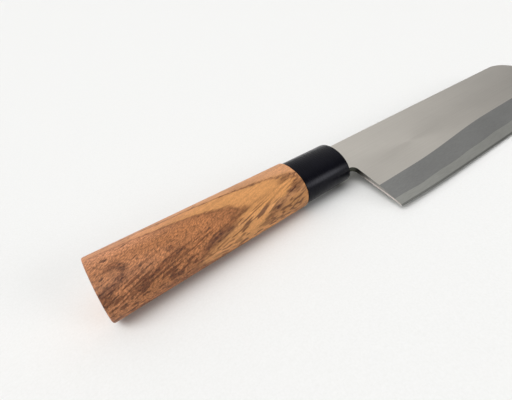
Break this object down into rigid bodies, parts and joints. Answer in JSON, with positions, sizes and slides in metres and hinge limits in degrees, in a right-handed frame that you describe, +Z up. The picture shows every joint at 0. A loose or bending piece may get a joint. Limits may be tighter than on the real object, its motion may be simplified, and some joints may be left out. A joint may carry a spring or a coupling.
{
  "type": "vegetable knife",
  "caption": "Japanese vegetable knife: a deep single-bevel laminated blade with a hollow-ground back, set by a hidden tang in an oval wooden handle with a black ferrule.",
  "frame": {"origin": "centre of the butt face of the handle; the surface that the knife lies on is 11.4 mm below it", "axes": "+X along the handle towards the tip of the blade, +Y away from the cutting edge towards the spine, +Z up from the surface that the knife lies on"},
  "size_m": [0.29, 0.0554, 0.022],
  "materials": {
    "soft_iron": "satin along the blade on the flat, matte stone finish on the bevel",
    "hard_steel": "ground and honed",
    "hardwood": "oiled, satin",
    "black_resin": "polished",
    "magnolia": "plain",
    "amber_resin": "plain"
  },
  "bodies": {
    "root": {"blade_iron": "soft_iron", "blade_steel": "hard_steel", "handle_wood": "hardwood", "ferrule": "black_resin", "handle_dowel": "magnolia", "tang_seal": "amber_resin"}
  },
  "joints": []
}
